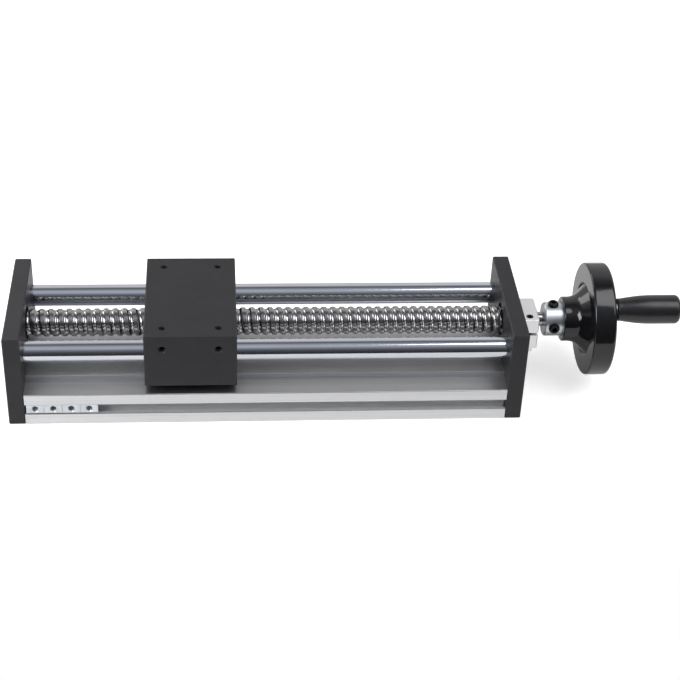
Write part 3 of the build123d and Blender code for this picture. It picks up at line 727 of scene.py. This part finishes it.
class STAGE_OT_ball_screw(Operator):
    """Sweep the ball groove along the screw and turn its necks and journals"""

    bl_idname = "stage.ball_screw"
    bl_label = "Ball screw"

    def execute(self, context):
        sizes = context.scene.screw_sizes
        drop = sizes.ball_circle - sizes.thread_radius
        half_width = sqrt(sizes.groove_radius**2 - drop**2)
        spread = atan2(half_width, drop)
        middle = sizes.lead / 2
        land_end = middle - half_width - sizes.land_rounding
        section = [(0, sizes.thread_radius), (land_end, sizes.thread_radius)]
        arc_steps = 8
        rounding = sizes.land_rounding / sizes.groove_radius
        for step in range(arc_steps + 1):
            angle = (spread - rounding) * (2 * step / arc_steps - 1)
            x = middle + sizes.groove_radius * sin(angle)
            section.append((x, sizes.ball_circle - sizes.groove_radius * cos(angle)))
        section.append((sizes.lead, sizes.thread_radius))
        half_thread = PLATE_INNER - sizes.thread_gap
        phase = half_thread - middle
        screw = threaded(section, sizes.lead, 2 * half_thread, steps=40, phase=phase)
        moved(screw, Vector((-half_thread, AXIS.y, AXIS.z)))
        stub_start = half_thread - MM
        shoulder = PLATE_INNER + sizes.bearing_recess
        seat_end = shoulder + sizes.bearing_width
        for side, end in ((-1, -SCREW_LOW.x), (1, SCREW_HIGH.x)):
            outline = (
                (stub_start, 0),
                (stub_start, sizes.neck_radius),
                (shoulder, sizes.neck_radius),
                (shoulder, sizes.seat_radius),
                (seat_end, sizes.seat_radius),
                (seat_end, sizes.journal_radius),
                (end - sizes.end_chamfer, sizes.journal_radius),
                (end, sizes.journal_radius - sizes.end_chamfer),
                (end, 0),
            )
            stub = turned([(side * x, radius) for x, radius in outline], steps=64)
            combine(screw, stub, "UNION")
        finish = "rolled_ball_screw"
        seat(screw, "ball_screw_threaded", "screw", finish, "rolled_screw", "ball_screw")
        return {"FINISHED"}


class STAGE_OT_hand_wheel(Operator):
    """Turn the dished hand wheel with its hub, web and heavy rim"""

    bl_idname = "stage.hand_wheel"
    bl_label = "Hand wheel"

    def execute(self, context):
        sizes = context.scene.wheel_sizes
        hub_left = WHEEL_LOW.x
        hub_right = hub_left + sizes.hub_length
        rim_left = hub_left + sizes.rim_setback
        rim_right = WHEEL_HIGH.x
        rim_radius = WHEEL_HIGH.z - AXIS.z
        bore = (BUSH_HIGH.z - BUSH_LOW.z) / 2 + FIT_GAP
        neck_left = hub_left + sizes.hub_cylinder
        neck_right = neck_left + sizes.web
        crease = rim_left + sizes.crease
        crease_low = sizes.rim_inner - 0.25 * MM
        crease_high = sizes.rim_inner + 0.35 * MM
        edge, hub_edge, crease_edge, lip_edge = 0.3 * MM, 0.8 * MM, 0.25 * MM, 0.6 * MM
        rim_root, hub_root = 1.2 * MM, 1.5 * MM
        corners = [
            (hub_left, bore, edge),
            (hub_left, sizes.hub_radius, hub_edge),
            (neck_left, sizes.hub_radius, sizes.web_flare),
            (crease, crease_low, edge),
            (crease, crease_high, crease_edge),
            (rim_left, crease_high, lip_edge),
            (rim_left, rim_radius, sizes.rim_left_radius),
            (rim_right, rim_radius, sizes.rim_right_radius),
            (rim_right, sizes.rim_inner, sizes.rim_right_radius),
            (crease + sizes.web, sizes.rim_inner, rim_root),
            (neck_right, sizes.hub_radius, hub_root),
            (hub_right, sizes.hub_radius, hub_edge),
            (hub_right, bore, edge),
        ]
        wheel = turned(rounded(corners), steps=128, closed=True)
        finish = "gloss_black_thermoset"
        seat(wheel, "dished_hand_wheel", "screw", finish, "wheel_plastic", "handwheel")
        return {"FINISHED"}


class STAGE_OT_handle(Operator):
    """Turn the revolving grip and the spindle that holds it"""

    bl_idname = "stage.handle"
    bl_label = "Revolving handle"

    def execute(self, context):
        sizes = context.scene.wheel_sizes
        rim_right = WHEEL_HIGH.x
        flange_end = rim_right + sizes.spindle_flange
        head_start = SPINDLE_HIGH.x - sizes.spindle_head
        flange_radius = (SPINDLE_HIGH.z - SPINDLE_LOW.z) / 2
        end_edge, flange_edge, seat_edge = 0.4 * MM, 0.3 * MM, 0.2 * MM
        corners = [
            (SPINDLE_LOW.x, sizes.spindle_thread, end_edge),
            (rim_right, sizes.spindle_thread, 0),
            (rim_right, flange_radius, seat_edge),
            (flange_end, flange_radius, flange_edge),
            (flange_end, sizes.spindle_radius, 0),
            (head_start, sizes.spindle_radius, 0),
            (head_start, flange_radius, flange_edge),
            (SPINDLE_HIGH.x, flange_radius, end_edge),
            (SPINDLE_HIGH.x, 0, 0),
            (SPINDLE_LOW.x, 0, 0),
        ]
        outline = rounded(corners, segments=3)
        spindle = turned(outline, steps=64, centre=HANDLE_CENTRE, closed=True)
        finish = "bright_zinc_steel"
        seat(spindle, "grip_spindle", "screw", finish, "zinc_steel", "handle_spindle")

        grip_radius = (GRIP_HIGH.z - GRIP_LOW.z) / 2
        waist_end = GRIP_LOW.x + sizes.grip_waist
        swell_steps = 12
        growth = grip_radius - sizes.grip_base
        swell = []
        for step in range(swell_steps + 1):
            share = step / swell_steps
            radius = sizes.grip_base + growth * sin(pi / 2 * share)
            swell.append((waist_end + sizes.grip_swell * share, radius, 0))
        chamber_start = head_start - (sizes.chamber_length - sizes.spindle_head) / 2
        chamber_end = chamber_start + sizes.chamber_length
        bore_edge, foot_edge = 0.2 * MM, 0.5 * MM
        corners = [
            (GRIP_LOW.x, sizes.grip_bore, bore_edge),
            (GRIP_LOW.x, sizes.grip_base, foot_edge),
            *swell,
            (GRIP_HIGH.x, grip_radius, sizes.grip_end),
            (GRIP_HIGH.x, 0, 0),
            (chamber_end, 0, 0),
            (chamber_end, sizes.chamber_radius, 0),
            (chamber_start, sizes.chamber_radius, 0),
            (chamber_start, sizes.grip_bore, 0),
        ]
        outline = rounded(corners, segments=6)
        grip = turned(outline, steps=96, centre=HANDLE_CENTRE, closed=True)
        finish = "satin_black_thermoset"
        seat(grip, "revolving_grip", "handle", finish, "grip_plastic", "handle_grip")
        return {"FINISHED"}


def headless_screw(pitch, radius, screw_length, socket, socket_depth):
    """A threaded headless screw along X from the origin, with a hexagon socket in its far end."""
    minor = radius - THREAD_DEPTH * pitch
    screw = threaded(metric_section(pitch, radius, minor), pitch, screw_length, steps=28)
    skin = radius + FIT_GAP / 2
    chamfer = skin - minor
    outline = [
        (0, 0),
        (0, minor),
        (chamfer, skin),
        (screw_length - chamfer, skin),
        (screw_length, minor),
        (screw_length, 0),
    ]
    origin = Vector((0, 0, 0))
    combine(screw, turned(outline, steps=40, centre=origin), "INTERSECT")
    floor, clear = screw_length - socket_depth, screw_length + socket_depth
    corner = socket / sqrt(3)
    outline = [(floor - socket * SOCKET_CONE, 0), (floor, corner), (clear, corner), (clear, 0)]
    hexagon = turned(outline, steps=6, centre=origin)
    combine(screw, moved(hexagon, origin, Matrix.Rotation(pi / 2, 4, "X")), "DIFFERENCE")
    return screw


class STAGE_OT_headless_screws(Operator):
    """Thread the bush's two set screws and the clamp screw of the lock block"""

    bl_idname = "stage.headless_screws"
    bl_label = "Headless screws"

    def execute(self, context):
        sizes = context.scene.screw_sizes
        finish = "black_oxide_steel"
        up = Matrix.Rotation(-pi / 2, 4, "Y")
        forward = Matrix.Rotation(-pi / 2, 4, "Z")
        radius = (SET_HIGH.x - SET_LOW.x) / 2
        x = (SET_HIGH.x + SET_LOW.x) / 2
        foot = sizes.journal_radius + FIT_GAP
        set_length = SET_HIGH.z - AXIS.z - foot
        socket, socket_depth = sizes.set_socket, sizes.set_socket_depth
        first = headless_screw(sizes.coarse_pitch, radius, set_length, socket, socket_depth)
        second = copied(first)
        moved(first, Vector((x, AXIS.y, AXIS.z + foot)), up)
        moved(second, Vector((x, AXIS.y - foot, AXIS.z)), forward)
        seat(first, "bush_set_screw_top", "screw", finish, "black_steel", "bushing_set_screws")
        seat(second, "bush_set_screw_front", "screw", finish, "black_steel", "bushing_set_screws")

        radius = (CLAMP_HIGH.x - CLAMP_LOW.x) / 2
        clamp_length = CLAMP_HIGH.z - CLAMP_LOW.z
        socket, socket_depth = sizes.clamp_socket, sizes.clamp_socket_depth
        clamp = headless_screw(sizes.fine_pitch, radius, clamp_length, socket, socket_depth)
        clamp_foot = (CLAMP_LOW + CLAMP_HIGH) / 2
        clamp_foot.z = CLAMP_LOW.z
        moved(clamp, clamp_foot, up)
        seat(clamp, "lock_screw_threaded", "lock_screw", finish, "black_steel", "lock_clamp_screw")
        return {"FINISHED"}


def tap(piece, mouth, outward, depth):
    """Cuts an M4 thread into a piece, from a hole's mouth down to a depth."""
    sizes = bpy.context.scene.screw_sizes
    section = metric_section(sizes.fine_pitch, sizes.tapped_major, sizes.tapped_minor)
    bar = threaded(section, sizes.fine_pitch, depth + THREAD_OVERRUN, steps=24)
    turn = Vector((1, 0, 0)).rotation_difference(outward).to_matrix().to_4x4()
    moved(bar, mouth - outward * depth, turn)
    combine(piece, bar, "DIFFERENCE")


def pattern(mount, face):
    """The mouths of a bolt pattern's holes, on the face that they open in, and the way out."""
    outward = Vector(mount["axis"])
    through = max(range(3), key=lambda axis: abs(outward[axis]))
    across = [axis for axis in range(3) if axis != through]
    half_x, half_y = (mount["dims"].get(f"spacing_{side}_mm", 0) * MM / 2 for side in "xy")
    mouths = []
    for first in (-half_x, half_x):
        for second in (-half_y, half_y) if half_y else (0,):
            mouth = Vector(mount["pos_m"])
            mouth[through] = face
            mouth[across[0]] += first
            mouth[across[1]] += second
            mouths.append(mouth)
    return mouths, outward


class STAGE_OT_base_profile(Operator):
    """Round the long edges of the base profile and of its side slots' mouths"""

    bl_idname = "stage.base_profile"
    bl_label = "Base profile"

    def execute(self, context):
        sizes = context.scene.base_sizes
        low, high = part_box("base_extrusion")
        centre = MOUNTS["front_slot"]["pos_m"][2]
        land_side = sizes.land_half_width
        profile = copied_solid("base_extrusion")
        points = profile.data.vertices
        shoulder = max(point.co.z for point in points if abs(point.co.y) > land_side + NEAR)
        mouth_share = sizes.mouth_radius / sizes.corner_radius
        shares = {
            (high.y, low.z): 1,
            (high.y, shoulder): 1,
            (land_side, high.z): 1,
            (high.y, centre - sizes.mouth_width / 2): mouth_share,
            (high.y, centre + sizes.mouth_width / 2): mouth_share,
        }
        weights = profile.data.attributes.new("bevel_weight_edge", "FLOAT", "EDGE")
        marked = 0
        for line in profile.data.edges:
            start, end = (points[corner].co for corner in line.vertices)
            runs_along = abs(end.x - start.x) > (high.x - low.x) / 2
            if not runs_along:
                continue
            for (y, z), share in shares.items():
                if abs(abs(start.y) - y) < NEAR and abs(start.z - z) < NEAR:
                    weights.data[line.index].value = share
                    marked += 1
        if marked != 2 * len(shares):
            raise RuntimeError(f"{marked} long edges found, not {2 * len(shares)}")
        modified(
            profile, "BEVEL", width=sizes.corner_radius, segments=4, limit_method="WEIGHT"
        )
        finish = "clear_anodised_profile"
        seat(profile, "base_profile_rounded", "base", finish, "clear_aluminium", "base_extrusion")
        return {"FINISHED"}


class STAGE_OT_carriage(Operator):
    """Cut the tapped threads into the carriage's mounting holes"""

    bl_idname = "stage.carriage"
    bl_label = "Carriage"

    def execute(self, context):
        sizes = context.scene.screw_sizes
        low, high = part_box("carriage_block")
        block = copied_solid("carriage_block")
        for name, face, depth in (
            ("carriage_top_holes", high.z, sizes.top_depth),
            ("carriage_front_holes", low.y, sizes.side_depth),
            ("carriage_rear_holes", high.y, sizes.side_depth),
        ):
            mouths, outward = pattern(MOUNTS[name], face)
            for mouth in mouths:
                tap(block, mouth, outward, depth)
        finish = "black_anodised_aluminium"
        seat(
            block, "carriage_block_tapped", "carriage", finish, "black_aluminium", "carriage_block"
        )
        return {"FINISHED"}


class STAGE_OT_slot_nuts(Operator):
    """Break the slot nuts' edges and tap their holes"""

    bl_idname = "stage.slot_nuts"
    bl_label = "Slot nuts"

    def execute(self, context):
        low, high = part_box("slot_nuts")
        nuts = copied_solid("slot_nuts")
        modified(
            nuts,
            "BEVEL",
            width=context.scene.base_sizes.nut_edge,
            segments=2,
            limit_method="ANGLE",
            angle_limit=EDGE_ANGLE,
        )
        (first, last), outward = pattern(MOUNTS["slot_nut_holes_outer"], low.y)
        for number in range(NUT_COUNT):
            mouth = first.lerp(last, number / (NUT_COUNT - 1))
            tap(nuts, mouth, outward, high.y - low.y + THREAD_OVERRUN)
        finish = "bright_zinc_steel"
        seat(nuts, "slot_nuts_tapped", "nuts", finish, "zinc_steel", "slot_nuts")
        return {"FINISHED"}


class STAGE_OT_carried_finishes(Operator):
    """Give the pieces that keep their CAD shape their finishes"""

    bl_idname = "stage.carried_finishes"
    bl_label = "Finishes of carried pieces"

    def execute(self, context):
        for finish, nodes in CARRIED.items():
            for node in nodes:
                frame["nodes"][node].material_slots[0].material = finish_named(finish)
        return {"FINISHED"}


def lamp(name, place, aim, size, power):
    """A large soft light that points at a place."""
    rest()
    bpy.ops.object.light_add(type="AREA", location=place)
    light = bpy.context.object
    light.name = name
    light.data.shape = "RECTANGLE"
    light.data.size, light.data.size_y = size
    light.data.energy = power
    light.rotation_euler = (Vector(aim) - Vector(place)).to_track_quat("-Z", "Y").to_euler()


def seen_glow(tree, seen, mirrored):
    """How much a backdrop glows for the camera, and for what metal and glass show of it."""
    path = tree.nodes.new("ShaderNodeLightPath")
    total = 0
    for ray, glow in (
        ("Is Camera Ray", seen),
        ("Is Glossy Ray", mirrored),
        ("Is Transmission Ray", mirrored),
    ):
        total = maths(tree, "MULTIPLY_ADD", path.outputs[ray], glow, total)
    return total


def surroundings(settings):
    """A studio that the camera sees as white, and metal as bands from dark front to bright back."""
    world = bpy.data.worlds.new("studio_surroundings")
    world.use_nodes = True
    tree = world.node_tree
    nodes, links = tree.nodes, tree.links
    nodes.clear()
    direction = nodes.new("ShaderNodeTexCoord")
    parts = nodes.new("ShaderNodeSeparateXYZ")
    links.new(direction.outputs["Generated"], parts.inputs["Vector"])
    front = maths(tree, "MULTIPLY", parts.outputs["Y"], -1)
    tilt = maths(tree, "ARCTAN2", parts.outputs["Z"], front)
    ramp = nodes.new("ShaderNodeValToRGB")
    links.new(maths(tree, "DIVIDE", tilt, pi), ramp.inputs["Fac"])
    stops = ramp.color_ramp.elements
    stops[0].position, stops[1].position = STUDIO_BANDS[0][0], STUDIO_BANDS[-1][0]
    for position, _ in STUDIO_BANDS[1:-1]:
        stops.new(position)
    for stop, (_, rgb) in zip(stops, STUDIO_BANDS):
        stop.color = (*rgb, 1)
    seen = nodes.new("ShaderNodeBackground")
    links.new(ramp.outputs["Color"], seen.inputs["Color"])
    fill = nodes.new("ShaderNodeBackground")
    fill.inputs["Color"].default_value = (1, 1, 1, 1)
    fill.inputs["Strength"].default_value = settings.fill_light
    white = nodes.new("ShaderNodeBackground")
    white.inputs["Color"].default_value = (1, 1, 1, 1)
    path = nodes.new("ShaderNodeLightPath")
    output = nodes.new("ShaderNodeOutputWorld")
    shader = fill.outputs["Background"]
    for ray, light in (
        ("Is Glossy Ray", seen),
        ("Is Transmission Ray", seen),
        ("Is Camera Ray", white),
    ):
        either = nodes.new("ShaderNodeMixShader")
        links.new(path.outputs[ray], either.inputs["Fac"])
        links.new(shader, either.inputs[1])
        links.new(light.outputs["Background"], either.inputs[2])
        shader = either.outputs["Shader"]
    links.new(shader, output.inputs["Surface"])
    return world


class STAGE_OT_studio(Operator):
    """Set up the floor, the surroundings, the lights and the camera"""

    bl_idname = "stage.studio"
    bl_label = "Studio"

    def execute(self, context):
        settings = context.scene.studio
        rest()
        floor_size, floor_drop = 4, 0.2 * MM
        floor_place = (0, floor_size / 2 - settings.floor_front, -floor_drop)
        bpy.ops.mesh.primitive_plane_add(size=floor_size, location=floor_place)
        floor = context.object
        floor.name = "studio_floor"
        paper = new_finish("pale_floor", settings.floor, metallic=0.0, roughness=0.7)
        clouds = speckle(paper, 3, detail=2)
        shade_colour(paper, clouds, settings.floor, darkest=0.985, lightest=1.015)
        shader = paper.node_tree.nodes["Principled BSDF"]
        shader.inputs["Emission Color"].default_value = (1, 1, 1, 1)
        glow = seen_glow(paper.node_tree, settings.floor_glow, settings.mirrored_glow)
        paper.node_tree.links.new(glow, shader.inputs["Emission Strength"])
        floor.data.materials.append(paper)

        for name, place, aim, size, power in SOFTBOXES:
            lamp(name, place, aim, size, getattr(settings, power))
        context.scene.world = surroundings(settings)

        rest()
        bpy.ops.object.camera_add()
        camera = context.object
        camera.name = "photo_camera"
        camera.data.sensor_width = 36
        camera.data.lens = settings.focal_length
        camera.data.clip_start = 0.01
        camera.matrix_world = (
            Matrix.Translation(settings.camera_place)
            @ Matrix.Rotation(-settings.camera_yaw, 4, "Z")
            @ Matrix.Rotation(pi / 2 - settings.camera_pitch, 4, "X")
            @ Matrix.Rotation(settings.camera_roll, 4, "Z")
        )
        context.scene.camera = camera
        context.scene.view_settings.view_transform = "Standard"
        return {"FINISHED"}


class STAGE_PT_panel(Panel):
    """Lists the steps in the order in which they run"""

    bl_idname = "STAGE_PT_panel"
    bl_label = "Ball screw stage"
    bl_space_type = "VIEW_3D"
    bl_region_type = "UI"
    bl_category = "Stage"

    def draw(self, context):
        for step in STEPS:
            self.layout.operator(step.bl_idname)


STEPS = (
    STAGE_OT_ball_screw,
    STAGE_OT_hand_wheel,
    STAGE_OT_handle,
    STAGE_OT_headless_screws,
    STAGE_OT_base_profile,
    STAGE_OT_carriage,
    STAGE_OT_slot_nuts,
    STAGE_OT_carried_finishes,
    STAGE_OT_studio,
)
GROUPS = {
    "screw_sizes": ScrewSizes,
    "base_sizes": BaseSizes,
    "wheel_sizes": WheelSizes,
    "stage_finishes": Finishes,
    "studio": Studio,
}


def register():
    """Registers the groups, the operators and the panel."""
    for name, group in GROUPS.items():
        bpy.utils.register_class(group)
        setattr(bpy.types.Scene, name, PointerProperty(type=group))
    for step in STEPS:
        bpy.utils.register_class(step)
    bpy.utils.register_class(STAGE_PT_panel)


def unregister():
    """Takes back what register did."""
    bpy.utils.unregister_class(STAGE_PT_panel)
    for step in reversed(STEPS):
        bpy.utils.unregister_class(step)
    for name, group in GROUPS.items():
        delattr(bpy.types.Scene, name)
        bpy.utils.unregister_class(group)


def main():
    """Registers the steps and runs each of them in order."""
    register()
    bpy.ops.stage.ball_screw()
    bpy.ops.stage.hand_wheel()
    bpy.ops.stage.handle()
    bpy.ops.stage.headless_screws()
    bpy.ops.stage.base_profile()
    bpy.ops.stage.carriage()
    bpy.ops.stage.slot_nuts()
    bpy.ops.stage.carried_finishes()
    bpy.ops.stage.studio()


if __name__ == "__main__":
    main()
